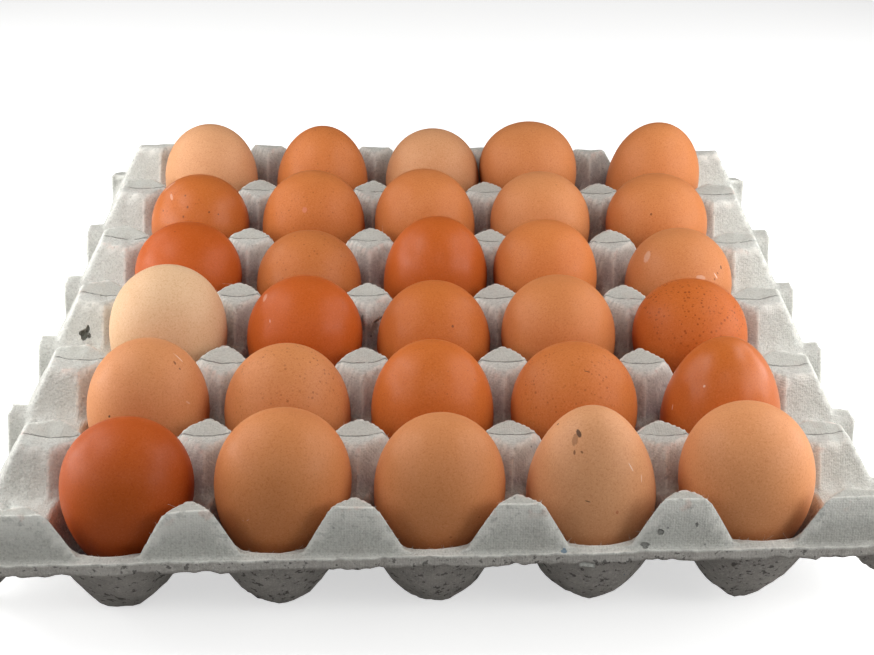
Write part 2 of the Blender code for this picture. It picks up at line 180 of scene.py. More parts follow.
# The pulp's smaller colours, and its coloured specks with how many there are to a metre. The pale colour of
# worn edges is pale fuzz and also painted highlight on the peaks' lips and edges.
PULP_TONES = {
    "streak": (0.2, 0.18, 0.18), "pale fleck": (0.86, 0.84, 0.78), "dark fleck": (0.25, 0.24, 0.22),
    # The behind colour is painted shade: the darker grey of the tops behind each peak's fold.
    "behind": (0.45, 0.45, 0.40), "worn_and_highlit": (0.90, 0.89, 0.83), "pale lump": (0.62, 0.59, 0.54),
    # The crease colour is painted shadow along the fold line across each peak.
    "gap": (0.06, 0.055, 0.05), "speck": (0.10, 0.10, 0.11), "shaded_crease": (0.10, 0.10, 0.085),
}
PULP_SPECKS = (((0.05, 0.12, 0.25), 170.0), ((0.06, 0.17, 0.12), 150.0), ((0.35, 0.10, 0.08), 140.0))
FIBRE_TONES = ((0.66, 0.65, 0.58), (0.84, 0.83, 0.78))

# Loose fibres, in metres: the short ones, the few long ones, their thickness, and how far from their
# place they start.
SHORT_FIBRES = (0.0003, 0.0012)
LONG_FIBRES = (0.0015, 0.0035)
SHORT_SHARE = 0.93
FIBRE_THICKNESS = (0.00005, 0.00011)
FIBRE_SCATTER = 0.0003
FRONT_SHARE = 0.55        # this share of the fibres stands at the front
FRONT_FROM = 2.9          # the front, in pitches from the middle
WORN_ENOUGH = 0.3         # fibres stand where the tray is worn more than this
# The rim's edge takes the underside's darker colour by the second share below, as painted shade.
RIM_WORN = 0.31           # how worn the rim's edge is,
RIM_PAINTED_SHADE = 0.9           # and how far it has the underside's colour

# The torn flap, in metres: its width, drop and thickness. It hangs this many pitches right of the middle.
FLAP_AT = 0.92
FLAP_WIDTH = 0.0048
FLAP_DROP = 0.0026
FLAP_THICKNESS = 0.0004

# The soft panels on each side: name, turn to the back and rise in degrees, distance and size in metres,
# and share of power. The front panel's power is its own, and the others share their side's power.
SIDE_PANELS = (
    ("low", 0, 12, 0.45, (0.30, 0.16), 0.42),
    ("high", 0, 50, 0.45, (0.30, 0.16), 0.33),
    ("back", 32, 25, 0.6, (0.35, 0.25), 0.25),
    ("front", -32, 25, 0.6, (0.35, 0.25), 1.0),
)
LIT_POINT = (0, 0, 0.04)
FLOOR_HALF = 4.0
CAMERA_PLACE = (-0.177, -10.53, 5.512)   # in pitches, the last one above the peaks
SENSOR_WIDTH = 36.0


# --- settings ---

def metres(name, description, default):
    return FloatProperty(name=name, description=description, default=default, unit="LENGTH")


def number(name, description, default):
    return FloatProperty(name=name, description=description, default=default)


def angle(name, description, degrees):
    return FloatProperty(name=name, description=description, default=math.radians(degrees), subtype="ANGLE")


def tint(name, description, default):
    return FloatVectorProperty(name=name, description=description, default=default, subtype="COLOR")


class TraySizes(bpy.types.PropertyGroup):
    """Sizes of the pulp tray."""
    pitch: metres("Pitch", "From one cup to the next", 0.0495)
    wall: metres("Wall", "Thickness of the pulp", 0.0023)
    peak: metres("Peaks", "Height of the peaks", 0.0473)
    land: metres("Land", "Height of the rim and the land", 0.0315)
    softness: metres("Edge softness", "How far the pressed edges are rounded", 0.0009)
    ripple: metres("Ripple", "How uneven the pulp's surfaces are", 0.00028)
    lines: IntProperty(name="Lines per cup", description="Mesh lines across one cup", default=32, min=8)
    seed: IntProperty(name="Seed", description="Chooses the uneven places", default=4)


class PulpLooks(bpy.types.PropertyGroup):
    """Colours and surface of the pulp."""
    colour: tint("Pulp", "Main colour of the pulp", (0.61, 0.615, 0.57))
    shade: tint("Patches", "Duller patches of the pulp", (0.545, 0.54, 0.50))
    rub: tint("Pink rub", "Faint rub marks on the high edges", (0.74, 0.47, 0.38))
    # The cup colour is painted shade: a darker purplish grey laid on the steep walls inside the cups, where
    # the eggs shade them.
    cup: tint("Cup", "Smoother pulp inside the cups", (0.47, 0.415, 0.43))
    # The underside colour is painted shade: its darker grey stands for the shade under the tray.
    shaded_underside: tint("Underside", "Dull underside", (0.36, 0.32, 0.295))
    grain: metres("Grain", "Depth of the pulp's grain", 0.0006)
    fibres: IntProperty(
        name="Fibres", description="Loose fibres on the rim and the peaks", default=2600, min=0)


class ShellLooks(bpy.types.PropertyGroup):
    """Colours and gloss of the eggshells."""
    cream: tint("Cream", "Palest shell", (0.76, 0.50, 0.30))
    peach: tint("Peach", "Pinkish shell", (0.69, 0.34, 0.165))
    tan: tint("Tan", "Light orange shell", (0.64, 0.25, 0.093))
    amber: tint("Amber", "Orange shell", (0.60, 0.19, 0.052))
    rust: tint("Rust", "Darker shell", (0.555, 0.15, 0.031))
    brick: tint("Brick", "Red brown shell", (0.515, 0.112, 0.018))
    umber: tint("Umber", "Darkest shell", (0.43, 0.072, 0.010))
    roughness: FloatProperty(
        name="Roughness", description="How matte the shells are", default=0.5, min=0, max=1)


class StageLooks(bpy.types.PropertyGroup):
    """Floor, light and camera."""
    floor: tint("Floor", "Colour of the floor", (0.90, 0.90, 0.89))
    bounce: number("Bounce", "Share of light that the floor throws back", 0.5)
    glow: number("Glow", "Evens out the floor's brightness", 0.6)
    left: number("Left panels", "Power of the soft lights on the left", 2.35)
    right: number("Right panels", "Power of the soft lights on the right", 1.95)
    left_front: number("Left front panel", "Power of the soft light at the left front", 0.62)
    right_front: number("Right front panel", "Power of the soft light at the right front", 1.2)
    above: number("High front panel", "Power of the soft light high in front", 0.6)
    sky: number("Sky", "Strength of the light from all round", 0.02)
    lens: number("Lens", "Focal length in millimetres", 63.46)
    pitch: angle("Look down", "Camera's angle below level", 28.93)
    yaw: angle("Turn", "Camera's turn to the left", -1.2)
    roll: angle("Roll", "Camera's roll", 1.01)


SETTINGS = {"egg_tray_sizes": TraySizes, "egg_tray_pulp": PulpLooks, "egg_tray_shells": ShellLooks,
            "egg_tray_stage": StageLooks}


# --- small helpers for nodes ---

def put_value(tree, socket, value):
    """Set a socket to a value, or link another socket to it."""
    if isinstance(value, bpy.types.NodeSocket):
        tree.links.new(value, socket)
    else:
        socket.default_value = value


def put(tree, kind, settings=None, **inputs):
    """A new node with its settings and inputs. An input goes by its name, or by i and its number."""
    made = tree.nodes.new(kind)
    for name, value in (settings or {}).items():
        setattr(made, name, value)
    for name, value in inputs.items():
        numbered = name[0] == "i" and name[1:].isdigit()
        put_value(tree, made.inputs[int(name[1:]) if numbered else name.replace("_", " ")], value)
    return made


def calc(tree, operation, a, b=0.0, c=0.0, clamp=False):
    """The result of a math node. Only some operations have a third input."""
    made = put(tree, "ShaderNodeMath", {"operation": operation, "use_clamp": clamp}, i0=a, i1=b)
    if operation in ("WRAP", "MULTIPLY_ADD"):
        put_value(tree, made.inputs[2], c)
    return made.outputs[0]


def band(tree, value, low, high, to_low=0.0, to_high=1.0):
    """A smooth step of value between low and high."""
    made = put(tree, "ShaderNodeMapRange", {"interpolation_type": "SMOOTHSTEP"}, Value=value, From_Min=low,
               From_Max=high, To_Min=to_low, To_Max=to_high)
    return made.outputs["Result"]


def blend(tree, factor, a, b):
    """Colour a, and colour b where factor is 1."""
    return put(tree, "ShaderNodeMix", {"data_type": "RGBA"}, i0=factor, i6=a, i7=b).outputs[2]


def colour(value):
    return (value[0], value[1], value[2], 1.0)


def new_group(name, inputs, outputs):
    """An empty node group with named inputs, as name: (type, default), and outputs."""
    tree = bpy.data.node_groups.new(name, "ShaderNodeTree")
    for title, (kind, default) in inputs.items():
        socket = tree.interface.new_socket(title, in_out="INPUT", socket_type=kind)
        socket.default_value = default
    for title, kind in outputs.items():
        tree.interface.new_socket(title, in_out="OUTPUT", socket_type=kind)
    return tree, tree.nodes.new("NodeGroupInput"), tree.nodes.new("NodeGroupOutput")


def use(tree, group, **inputs):
    """A node group placed in a material, with its own values."""
    made = tree.nodes.new("ShaderNodeGroup")
    made.node_tree = group
    for name, value in inputs.items():
        put_value(tree, made.inputs[name.replace("_", " ")], value)
    return made


FLOAT = "NodeSocketFloat"


def dots_group():
    """Small round dots scattered on the surface, of uneven size: how many, how large."""
    tree, given, out = new_group(
        "dots", {"Scale": (FLOAT, 400.0), "Size": (FLOAT, 0.1), "Share": (FLOAT, 0.2)}, {"Mask": FLOAT})
    place = put(tree, "ShaderNodeTexCoord").outputs["Object"]
    cells = put(tree, "ShaderNodeTexVoronoi", {"feature": "F1"}, Vector=place, Scale=given.outputs["Scale"])
    chance = put(tree, "ShaderNodeSeparateColor", Color=cells.outputs["Color"])
    chosen = calc(tree, "LESS_THAN", chance.outputs[0], given.outputs["Share"])
    size = calc(tree, "MULTIPLY", given.outputs["Size"], calc(tree, "ADD", chance.outputs[1], 0.35))
    near = calc(tree, "DIVIDE", cells.outputs["Distance"], size)
    tree.links.new(calc(tree, "MULTIPLY", band(tree, near, 1.1, 0.6), chosen), out.inputs["Mask"])
    return tree


def cloud_group():
    """Soft uneven patches from 0 to 1."""
    tree, given, out = new_group(
        "cloud", {"Scale": (FLOAT, 40.0), "Low": (FLOAT, 0.4), "High": (FLOAT, 0.6)}, {"Value": FLOAT})
    place = put(tree, "ShaderNodeTexCoord").outputs["Object"]
    waves = put(tree, "ShaderNodeTexNoise", Vector=place, Scale=given.outputs["Scale"], Detail=3.0,
                Roughness=0.6)
    value = band(tree, waves.outputs[0], given.outputs["Low"], given.outputs["High"])
    tree.links.new(value, out.inputs["Value"])
    return tree


def mark_group():
    """One mark on a shell: an uneven oval round a place, stretched along a direction."""
    tree, given, out = new_group(
        "mark", {"Place": ("NodeSocketVector", (0, 0, 0)), "Along": ("NodeSocketVector", (0, 0, 1)),
                 "Length": (FLOAT, 0.002), "Width": (FLOAT, 0.001)}, {"Mask": FLOAT})
    place = put(tree, "ShaderNodeTexCoord").outputs["Object"]
    uneven = put(tree, "ShaderNodeTexNoise", Vector=place, Scale=1500.0, Detail=2.0)

    def vectors(operation, a, b):
        return put(tree, "ShaderNodeVectorMath", {"operation": operation}, i0=a, i1=b).outputs

    away = vectors("SUBTRACT", place, given.outputs["Place"])[0]
    along = vectors("DOT_PRODUCT", away, given.outputs["Along"])["Value"]
    total = vectors("DOT_PRODUCT", away, away)["Value"]
    across = calc(tree, "SUBTRACT", total, calc(tree, "MULTIPLY", along, along))
    long_part = calc(tree, "POWER", calc(tree, "DIVIDE", along, given.outputs["Length"]), 2.0)
    wide_part = calc(tree, "DIVIDE", across, calc(tree, "POWER", given.outputs["Width"], 2.0))
    reach = calc(tree, "ADD", long_part, wide_part)
    reach = calc(tree, "MULTIPLY_ADD", uneven.outputs[0], 1.3, reach)
    tree.links.new(band(tree, reach, 1.95, 1.35), out.inputs["Mask"])
    return tree


def fold_group():
    """The fold across each peak: a thin line from tip to tip, bowed to the front, and the part behind it."""
    tree, given, out = new_group(
        "fold", {"Pitch": (FLOAT, 0.05), "Half": (FLOAT, 0.008), "Bow": (FLOAT, 0.001)},
        {"Line": FLOAT, "Behind": FLOAT})
    place = put(tree, "ShaderNodeTexCoord").outputs["Object"]
    part = put(tree, "ShaderNodeSeparateXYZ", Vector=place).outputs
    half = calc(tree, "MULTIPLY", given.outputs["Pitch"], 0.5)
    start = calc(tree, "MULTIPLY", half, -1.0)
    across = calc(tree, "WRAP", calc(tree, "SUBTRACT", part["X"], half), half, start)
    along = calc(tree, "WRAP", part["Y"], half, start)
    uneven = put(tree, "ShaderNodeTexNoise", Vector=place, Scale=330.0, Detail=3.0).outputs[0]
    reach = calc(tree, "DIVIDE", across, given.outputs["Half"])
    bow = calc(tree, "SUBTRACT", 1.0, calc(tree, "MULTIPLY", reach, reach), clamp=True)
    line = calc(tree, "MULTIPLY_ADD", bow, given.outputs["Bow"], along)
    line = calc(tree, "MULTIPLY_ADD", calc(tree, "SUBTRACT", uneven, 0.5), 0.0014, line)
    near = band(tree, calc(tree, "ABSOLUTE", line), 0.00040, 0.00012)
    ends = band(tree, calc(tree, "ABSOLUTE", reach), 1.3, 1.0)
    tree.links.new(calc(tree, "MULTIPLY", near, ends), out.inputs["Line"])
    tree.links.new(band(tree, line, -0.0001, 0.0007), out.inputs["Behind"])
    return tree


def group(name):
    """The named node group, built on first use."""
    makers = {"dots": dots_group, "cloud": cloud_group, "mark": mark_group, "fold": fold_group}
    return bpy.data.node_groups.get(name) or makers[name]()


def patches(tree, scale, low, high):
    """Soft patches that go from 0 at low to 1 at high."""
    return use(tree, group("cloud"), Scale=scale, Low=low, High=high).outputs[0]


def dots(tree, scale, size, share):
    return use(tree, group("dots"), Scale=scale, Size=size, Share=share).outputs[0]


def shell_mix(base, shares, more=0.0):
    """A colour with each of its channels at a share of the base colour's."""
    return colour([channel * share + more for channel, share in zip(base, shares)])


def new_material(name):
    made = bpy.data.materials.new(name)
    made.use_nodes = True
    tree = made.node_tree
    return made, tree, tree.nodes["Principled BSDF"]


# --- the pulp's material ---

def attribute(tree, name):
    return put(tree, "ShaderNodeAttribute", {"attribute_name": name}).outputs["Fac"]


def pulp_material(looks, sizes):
    """Grey felted pulp: top, inner, under and worn are attributes of the tray's mesh; the underside's darker
    grey is painted shade, and the paleness of worn edges is partly painted highlight.
    """
    made, tree, shader = new_material("grey_pulp")
    cloud, times = partial(patches, tree), partial(calc, tree, "MULTIPLY")

    def layer(below, kind, share):
        return blend(tree, share, below, colour(PULP_TONES[kind]))

    place = put(tree, "ShaderNodeTexCoord").outputs["Object"]
    normal = put(tree, "ShaderNodeNewGeometry").outputs["Normal"]
    rise = put(tree, "ShaderNodeSeparateXYZ", Vector=normal).outputs["Z"]
    steep = band(tree, calc(tree, "ABSOLUTE", rise), 0.85, 0.5)
    top, inner, shaded_underside, worn_and_highlit = (attribute(tree, name) for name in ("top", "inner", "shaded_underside", "worn_and_highlit"))
    wall = times(inner, steep)
    flat = put(tree, "ShaderNodeMapping", {"vector_type": "POINT"}, Vector=place, Scale=(1.0, 1.0, 0.06))
    streak = put(tree, "ShaderNodeTexNoise", Vector=flat.outputs[0], Scale=900.0, Detail=2.0).outputs[0]

    # colour: patches, painted shade on the steep walls inside the cups, the underside's darker grey as
    # painted shade, then flecks, rubs and specks
    tone = blend(tree, cloud(55.0, 0.35, 0.7), colour(looks.colour), colour(looks.shade))
    # painted shade: the cup colour on the steep walls inside the cups
    inside = times(wall, calc(tree, "ADD", 0.55, times(cloud(130.0, 0.35, 0.6), 0.45)))
    tone = blend(tree, inside, tone, colour(looks.cup))
    # painted shade: the underside's darker grey
    tone = blend(tree, times(shaded_underside, 0.8), tone, colour(looks.shaded_underside))
    tone = layer(tone, "streak", times(times(wall, band(tree, streak, 0.45, 0.65)), 0.3))
    tone = layer(tone, "pale fleck", times(cloud(1200.0, 0.5, 0.68), 0.3))
    tone = layer(tone, "dark fleck", times(cloud(1300.0, 0.52, 0.36), 0.32))
    fold = use(tree, group("fold"), Pitch=sizes.pitch, Half=TrayForm.peak_half, Bow=TrayForm.bow).outputs
    # painted shade: the tops behind each peak's fold made darker grey
    behind = times(times(fold["Behind"], top), calc(tree, "SUBTRACT", 1.0, steep))
    tone = layer(tone, "behind", times(behind, 0.35))
    # pale worn fuzz on convex places and the tray's edge, and also painted highlight on the lips
    tone = layer(tone, "worn_and_highlit", times(times(worn_and_highlit, cloud(420.0, 0.3, 0.5)), 0.7))
    edges = calc(tree, "MAXIMUM", worn_and_highlit, times(fold["Line"], 0.7))
    rub = times(times(cloud(110.0, 0.56, 0.64), top), calc(tree, "ADD", 0.05, times(edges, 0.25)))
    tone = blend(tree, rub, tone, colour(looks.rub))
    tone = layer(tone, "pale lump", times(times(cloud(110.0, 0.4, 0.65), shaded_underside), 0.35))
    tone = layer(tone, "gap", times(times(cloud(420.0, 0.57, 0.64), shaded_underside), 0.75))
    tone = layer(tone, "speck", times(dots(tree, 260.0, 0.13, 0.05), 0.7))
    for ink, scale in PULP_SPECKS:
        tone = blend(tree, times(dots(tree, scale, 0.11, 0.012), 0.8), tone, colour(ink))

    # surface: felted grain, the forming screen's fine grid, streaks down the steep walls, the folds
    grain = put(tree, "ShaderNodeTexNoise", Vector=place, Scale=1100.0, Detail=5.0, Roughness=0.65).outputs[0]
    lumps = put(tree, "ShaderNodeTexNoise", Vector=place, Scale=260.0, Detail=2.0).outputs[0]
    screen = put(tree, "ShaderNodeTexVoronoi", {"feature": "F1"}, Vector=place, Scale=1250.0, Randomness=0.35)
    surface = calc(tree, "ADD", times(grain, 0.5), times(lumps, 0.55))
    surface = calc(tree, "ADD", surface, times(screen.outputs["Distance"], 0.3))
    surface = calc(tree, "ADD", surface, times(times(streak, wall), 0.9))
    shaded_crease = times(times(fold["Line"], top), cloud(240.0, 0.36, 0.46))
    surface = calc(tree, "SUBTRACT", surface, times(shaded_crease, 1.4))
    # painted shadow: the fold line darkened with the crease colour
    tone = layer(tone, "shaded_crease", times(shaded_crease, 0.55))
    for kind, spot, length, width in PULP_MARKS:
        mask = use(tree, group("mark"), Place=Vector(spot) / 1000, Along=Vector((0, 0, 1)),
                   Length=length / PULP_MARK_SPREAD, Width=width / PULP_MARK_SPREAD).outputs[0]
        strength, ink, depth = PULP_INKS[kind]
        tone = blend(tree, times(mask, strength), tone, colour(ink))
        surface = calc(tree, "SUBTRACT", surface, times(mask, depth))
    bump = put(tree, "ShaderNodeBump", Strength=0.9, Distance=looks.grain, Height=surface)
    tree.links.new(tone, shader.inputs["Base Color"])
    tree.links.new(bump.outputs[0], shader.inputs["Normal"])
    shader.inputs["Roughness"].default_value = 0.95
    shader.inputs["Specular IOR Level"].default_value = 0.2
    return made


# --- the tray's form ---

def soft_max(a, b, round_over):
    """The higher of two heights, rounded over where they meet."""
    near = np.maximum(round_over - np.abs(a - b), 0) / round_over
    return np.maximum(a, b) + near * near * round_over / 4


def soft_min(a, b, round_over):
    return -soft_max(-a, -b, round_over)


WAVES = 14


def ripple(x, y, length, seed):
    """An even, seeded unevenness from about -1 to 1 with waves of about this length."""
    draw = random.Random(seed)
    total = np.zeros_like(x)
    for _ in range(WAVES):
        turn, start = draw.uniform(0, math.tau), draw.uniform(0, math.tau)
        wave = length * draw.uniform(0.7, 1.5)
        total += np.cos((x * math.cos(turn) + y * math.sin(turn)) * math.tau / wave + start)
    return total * math.sqrt(2 / WAVES) * 0.6


class TrayForm:
    """Heights of the tray's upper and lower surfaces, from the sizes."""

    # half widths of a peak at its top and foot, and the side peaks' slope outwards
    peak_half, peak_foot, peak_roundness = 0.0081, 0.0160, 1.3
    side_out, side_run, side_narrows = 0.0099, 0.0084, 0.25
    # the side lugs, the pockets between them and the flat faces at both ends: places are in pitches
    lug_shift, lug_half, pocket_end, boxiness = 0.24, 0.09, 2.95, 2.6
    face_at, face_run, face_softness = 2.95, 0.0020, 0.0005
    face_lines = (-0.9, -0.5, -0.2, 0.1, 0.4, 0.8, 1.2, 1.6, 1.9, 2.2, 2.6, 3.1, 3.6, 4.0, 4.3)
    # the front row's lift, in pitches from and to, then its height in the middle and its slope
    lift_from, lift_to, lift_middle, lift_slope = 1.5, 2.9, 0.0051, 0.035
    # the tops: the fold's bow, the swell in front of it, and how far the front edge rolls down
    bow, swell, roll = 0.0019, 0.0004, 0.0010
    lowered, dished, end_dish = (0.0, 0.0006), (0.0008, 0.0014), 0.0002
    # the one peak with a bent lip: its place in the grid of peaks, and the lip's size
    folded, fold_out, fold_below, fold_wave = (2, 3), 0.0042, 0.0068, 0.0022
    # the front rim's thick edge, the ball that makes the underside, and the edges' unevenness
    rim_deep, rim_run, rim_drop, rim_drop_left, rim_uneven = 0.0030, 0.0012, 0.0015, 0.0009, 0.0003
    ball_reaches, ball_turns = (0.4, 0.75, 0.95), 12
    corner, ragged, rim_rough, lumps = 0.006, 0.00035, 0.0006, 0.0008
    cup_radii = (0.0, 0.0070, 0.0092, 0.0133, 0.0170, 0.0202, 0.0226, 0.0244, 0.0261, 0.0278, 0.0290)
    cup_rises = (0.0, 0.0, 0.0022, 0.0075, 0.0147, 0.0222, 0.0292, 0.0342, 0.0407, 0.0487, 0.0577)
    pocket_radii = (0.0, 0.0060, 0.0078, 0.0102, 0.0140, 0.0168, 0.0180, 0.0190, 0.0200)
    pocket_rises = (0.0, 0.0, 0.0018, 0.0062, 0.0147, 0.0232, 0.0292, 0.0377, 0.0527)

    def __init__(self, sizes):
        self.sizes = sizes
        draw = random.Random(sizes.seed)

        def each_peak(low, high):
            values = [draw.uniform(low, high) for _ in range((COLUMNS + 1) * (ROWS + 1))]
            return np.array(values).reshape(COLUMNS + 1, ROWS + 1)

        self.tilt = each_peak(-0.05, 0.05)
        self.drop = each_peak(*self.lowered)
        self.dish = each_peak(*self.dished)
        self.dish[:, [0, -1]] = self.end_dish

    def peak_at(self, x, y):
        """The nearest peak's place in the grid of peaks, and x, y measured from its middle."""
        p = self.sizes.pitch
        i = np.clip(np.floor(x / p) + 0.5, -HALF_COLUMNS, HALF_COLUMNS)
        j = np.clip(np.round(y / p), -HALF_ROWS, HALF_ROWS)
        return (i + HALF_COLUMNS).astype(int), (j + HALF_ROWS).astype(int), x - i * p, y - j * p

    def peaks(self, x, y):
        """Height of the peaks alone, and how far x lies outside the outermost line of peaks."""
        s, power = self.sizes, self.peak_roundness
        i, j, across, along = self.peak_at(x, y)
        slope = (s.peak - s.land) / (self.peak_foot - self.peak_half)
        reach = (np.abs(across) ** power + np.abs(along) ** power) ** (1 / power)
        inner = s.peak - slope * (reach - self.peak_half)
        outwards = np.maximum(np.abs(x) - HALF_COLUMNS * s.pitch, 0)
        wedge = s.peak - slope * (np.abs(along) + self.side_narrows * outwards - self.peak_half)
        lean = (s.peak - s.land) / self.side_run
        outer = soft_min(wedge, s.peak - lean * (outwards - self.side_out), s.softness)
        sides = np.where(outwards > 0, outer, inner)
        line = (along + self.bow * np.maximum(1 - (across / self.peak_half) ** 2, 0)) / self.peak_half
        behind, ahead = np.clip(line, 0, 1), np.clip(-line, 0, 1)
        top = s.peak - self.drop[i, j] + self.tilt[i, j] * across - self.dish[i, j] * (1 - behind)
        top = top + 4 * self.swell * ahead * (1 - ahead) - self.roll * ahead**2
        return soft_min(sides, top, s.softness), outwards

    def pockets(self):
        """Each side pocket's middle and half length, between one lug and the next."""
        p = self.sizes.pitch
        lugs = [(row - self.lug_shift) * p for row in range(1 - ROWS // 2, ROWS // 2)]
        starts = [-self.pocket_end * p] + [lug + self.lug_half * p for lug in lugs]
        ends = [lug - self.lug_half * p for lug in lugs] + [self.pocket_end * p]
        return [((start + end) / 2, (end - start) / 2) for start, end in zip(starts, ends)]

    def pocket_height(self, x, y):
        mouth = self.pocket_radii[6]
        reach = np.full(x.shape, 1.0)
        for middle, half in self.pockets():
            inwards = np.abs(np.abs(x) - HALF_WIDTH) ** self.boxiness
            along = np.abs((y - middle) * mouth / half) ** self.boxiness
            reach = np.minimum(reach, (inwards + along) ** (1 / self.boxiness))
        return self.sizes.wall + np.interp(reach, self.pocket_radii, self.pocket_rises)

    def upper(self, x, y):
        """Height of the upper surface, before the front is lifted."""
        s = self.sizes
        high, outwards = self.peaks(x, y)
        level = np.full(x.shape, s.land)
        level = np.where(outwards > 0, soft_min(level, self.pocket_height(x, y), s.softness), level)
        high = soft_max(high, level, s.softness)
        face = (s.peak - s.land) / self.face_run * (np.abs(y) - self.face_at * s.pitch)
        face = soft_max(s.peak - face, np.full(x.shape, s.land), self.face_softness)
        high = soft_min(high, face, self.face_softness)
        last_x, last_y = HALF_COLUMNS - 0.5, HALF_ROWS - 0.5
        cell_x = np.clip(np.round(x / s.pitch), -last_x, last_x) * s.pitch
        cell_y = np.clip(np.floor(y / s.pitch) + 0.5, -last_y, last_y) * s.pitch
        cup = s.wall + np.interp(np.hypot(x - cell_x, y - cell_y), self.cup_radii, self.cup_rises)
        return soft_min(high, cup, s.softness)

    def lift(self, x, y):
        """How far the front of the tray is lifted, more to the right."""
        p = self.sizes.pitch
        near = np.clip((-y - self.lift_from * p) / ((self.lift_to - self.lift_from) * p), 0, 1)
        return near * near * (3 - 2 * near) * (self.lift_middle + self.lift_slope * x)

    def lower(self, x, y):
        """The underside: a ball of the wall's thickness rolled under the upper surface."""
        wall = self.sizes.wall
        lowest = self.upper(x, y) - wall
        for share in self.ball_reaches:
            for step in range(self.ball_turns):
                turn = math.tau * step / self.ball_turns
                reach = share * wall
                above = self.upper(x + reach * math.cos(turn), y + reach * math.sin(turn))
                lowest = np.minimum(lowest, above - math.sqrt(wall**2 - reach**2))
        near = np.clip((self.rim_deep - HALF_LENGTH - y) / self.rim_run, 0, 1)
        thicker = self.rim_drop + self.rim_drop_left * np.clip(-x / HALF_WIDTH, 0, 1)
        for length, seed in ((0.016, 8), (0.005, 9)):
            thicker = thicker + self.rim_uneven * ripple(x, 0 * x, length, seed)
        return np.maximum(lowest - near * thicker, 0)

    def folded_over(self, x, y, rise):
        """How far forward the bent lip of the one damaged peak hangs."""
        i, j, across, along = self.peak_at(x, y)
        here = (i == self.folded[0]) & (j == self.folded[1]) & (along < 0)
        wave = self.fold_wave * np.cos((across - 0.0020) / 0.0022) * (across > -0.005)
        lip = self.sizes.peak - self.fold_below - wave
        out = np.clip((rise - lip) / 0.0003, 0, 1) * np.clip((self.sizes.peak - 0.0008 - rise) / 0.0035, 0, 1)
        return here * out * np.sqrt(np.clip(1 - np.abs(across) / 0.0080, 0, 1)) * self.fold_out


def spread(half, pitch, shift, lines, even_from, closeness=0.6):
    """Grid lines from -half to half: close together at the peaks, even beyond even_from."""
    count = round(2 * even_from / pitch * lines)
    even = np.linspace(-even_from, even_from, count + 1)
    moved = even - closeness * pitch / math.tau * np.sin(math.tau * (even / pitch - shift))
    margin = round((half - even_from) * lines * 1.6 / pitch)
    beyond = np.linspace(even_from, half, margin + 1)[1:]
    return np.concatenate([-beyond[::-1], moved, beyond])


def end_rows(form, rows):
    """The rows with closer ones through the front and back faces of the end peaks, and the rim beyond."""
    at = form.face_at * form.sizes.pitch
    closer = [at + step / 1000 for step in form.face_lines] + [HALF_LENGTH]
    inner = rows[np.abs(rows) < closer[0] - 0.0003]
    return np.concatenate([-np.array(closer)[::-1], inner, closer])


def grid_mesh(columns, rows):
    """A bmesh grid through the given lines across and along."""
    made = bmesh.new()
    bmesh.ops.create_grid(made, x_segments=len(columns) - 1, y_segments=len(rows) - 1, size=0.5)
    for vert in made.verts:
        vert.co.x = columns[round((vert.co.x + 0.5) * (len(columns) - 1))]
        vert.co.y = rows[round((vert.co.y + 0.5) * (len(rows) - 1))]
    return made


def finished(made, name, smooth=True):
    """The mesh of a bmesh, which is freed."""
    mesh = bpy.data.meshes.new(name)
    made.to_mesh(mesh)
    made.free()
    if smooth:
        mesh.shade_smooth()
    return mesh


def roughen_rim(made, lower):
    """Close the rim between the two surfaces, and pull its middle inwards unevenly."""
    edges = [edge for edge in made.edges if edge.is_boundary]
    bridge = bmesh.ops.bridge_loops(made, edges=edges)
    bottom = set(lower)
    across = [edge for edge in bridge["edges"] if (edge.verts[0] in bottom) != (edge.verts[1] in bottom)]
    cut = bmesh.ops.subdivide_edges(made, edges=across, cuts=3, use_grid_fill=True)
    for vert in cut["geom_inner"]:
        if isinstance(vert, bmesh.types.BMVert):
            place = Vector((vert.co.x * 260, vert.co.y * 260, vert.co.z * 1100))
            rough = TrayForm.rim_rough * abs(noise.noise(place))
            if HALF_LENGTH - abs(vert.co.y) < 0.0015:
                vert.co.y -= math.copysign(rough, vert.co.y)
            else:
                vert.co.x -= math.copysign(rough, vert.co.x)


